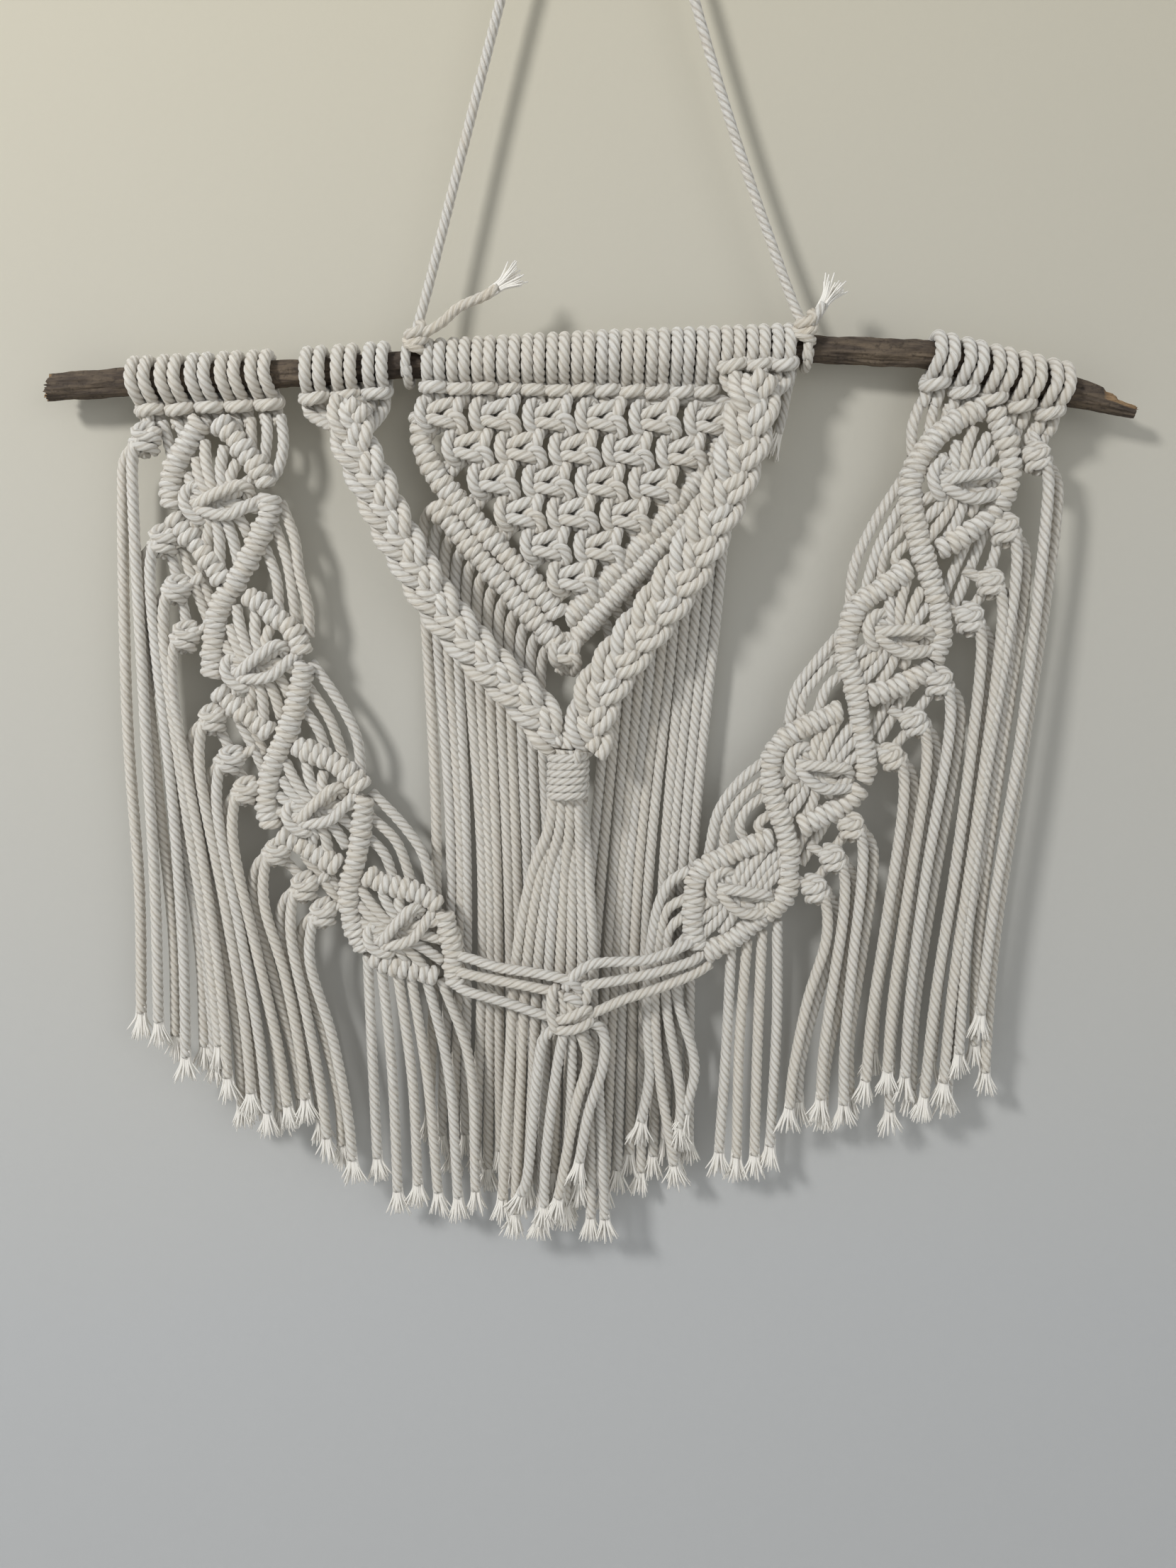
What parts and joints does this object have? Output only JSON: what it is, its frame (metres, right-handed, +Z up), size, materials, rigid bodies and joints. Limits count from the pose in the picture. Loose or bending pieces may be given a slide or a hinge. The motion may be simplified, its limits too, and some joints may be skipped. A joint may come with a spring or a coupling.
{
  "type": "wall hanging",
  "caption": "Knotted cotton wall hanging on a driftwood stick, with a netted V, side strips of diamonds, a braided swag and long fringe, hung by a cord.",
  "frame": {"origin": "point where the hanging cord bends over its nail, at the top of the piece", "axes": "+Z up, +X to the right along the stick, and the front faces -Y, away from the wall"},
  "size_m": [0.384, 0.028, 0.5538],
  "materials": {
    "cotton_cord": "matte",
    "hanging_cord": "matte",
    "driftwood": "matte"
  },
  "bodies": {
    "hanger": {"hanger_cord": "hanging_cord", "hanger_rings": "hanging_cord", "hanger_knot_left": "hanging_cord", "hanger_knot_right": "hanging_cord"},
    "hanging": {"driftwood_stick": "driftwood", "larks_heads_left": "cotton_cord", "larks_heads_left_braid": "cotton_cord", "larks_heads_centre": "cotton_cord", "larks_heads_right_braid": "cotton_cord", "larks_heads_right": "cotton_cord", "net_row_1": "cotton_cord", "net_row_2": "cotton_cord", "net_row_3": "cotton_cord", "net_row_4": "cotton_cord", "net_row_5": "cotton_cord", "net_row_6": "cotton_cord", "net_ridge_left_inner": "cotton_cord", "net_ridge_left_outer": "cotton_cord", "net_ridge_right_inner": "cotton_cord", "net_ridge_right_outer": "cotton_cord", "net_bottom_knot": "cotton_cord", "centre_fringe_left": "cotton_cord", "centre_fringe_right": "cotton_cord"},
    "braids": {"braid_left": "cotton_cord", "braid_right": "cotton_cord", "braid_binding": "cotton_cord"},
    "tassel": {"braid_tassel": "cotton_cord"},
    "strips": {"left_diamond_1": "cotton_cord", "left_diamond_2": "cotton_cord", "left_diamond_3": "cotton_cord", "left_diamond_4": "cotton_cord", "left_square_knot_1": "cotton_cord", "left_square_knot_2": "cotton_cord", "left_square_knot_3": "cotton_cord", "left_square_knot_4": "cotton_cord", "left_inner_arcs": "cotton_cord", "left_outer_knots": "cotton_cord", "left_fringe": "cotton_cord", "left_bottom_fringe": "cotton_cord", "right_diamond_1": "cotton_cord", "right_diamond_2": "cotton_cord", "right_diamond_3": "cotton_cord", "right_diamond_4": "cotton_cord", "right_square_knot_1": "cotton_cord", "right_square_knot_2": "cotton_cord", "right_square_knot_3": "cotton_cord", "right_square_knot_4": "cotton_cord", "right_inner_arcs": "cotton_cord", "right_outer_knots": "cotton_cord", "right_fringe": "cotton_cord", "right_bottom_fringe": "cotton_cord", "joining_cords_left": "cotton_cord", "joining_cords_right": "cotton_cord", "joining_knot": "cotton_cord", "joining_fringe": "cotton_cord"}
  },
  "joints": [
    {"name": "stick_swing", "type": "hinge", "parent": "hanger", "child": "hanging", "pos_m": [0, 0, -0.21796], "axis": [-0.998, 0, -0.0627], "range_deg": [0, 50]},
    {"name": "braid_swing", "type": "hinge", "parent": "hanging", "child": "braids", "pos_m": [0, -0.002, -0.2315], "axis": [-0.9961, 0, -0.0879], "range_deg": [0, 35]},
    {"name": "strip_swing", "type": "hinge", "parent": "braids", "child": "strips", "pos_m": [0, -0.002, -0.238], "axis": [-0.9994, 0, -0.0335], "range_deg": [0, 35]},
    {"name": "tassel_sway", "type": "hinge", "parent": "braids", "child": "tassel", "pos_m": [-0.005, -0.0102, -0.371], "axis": [0, 1, 0], "range_deg": [-4, 4]}
  ]
}
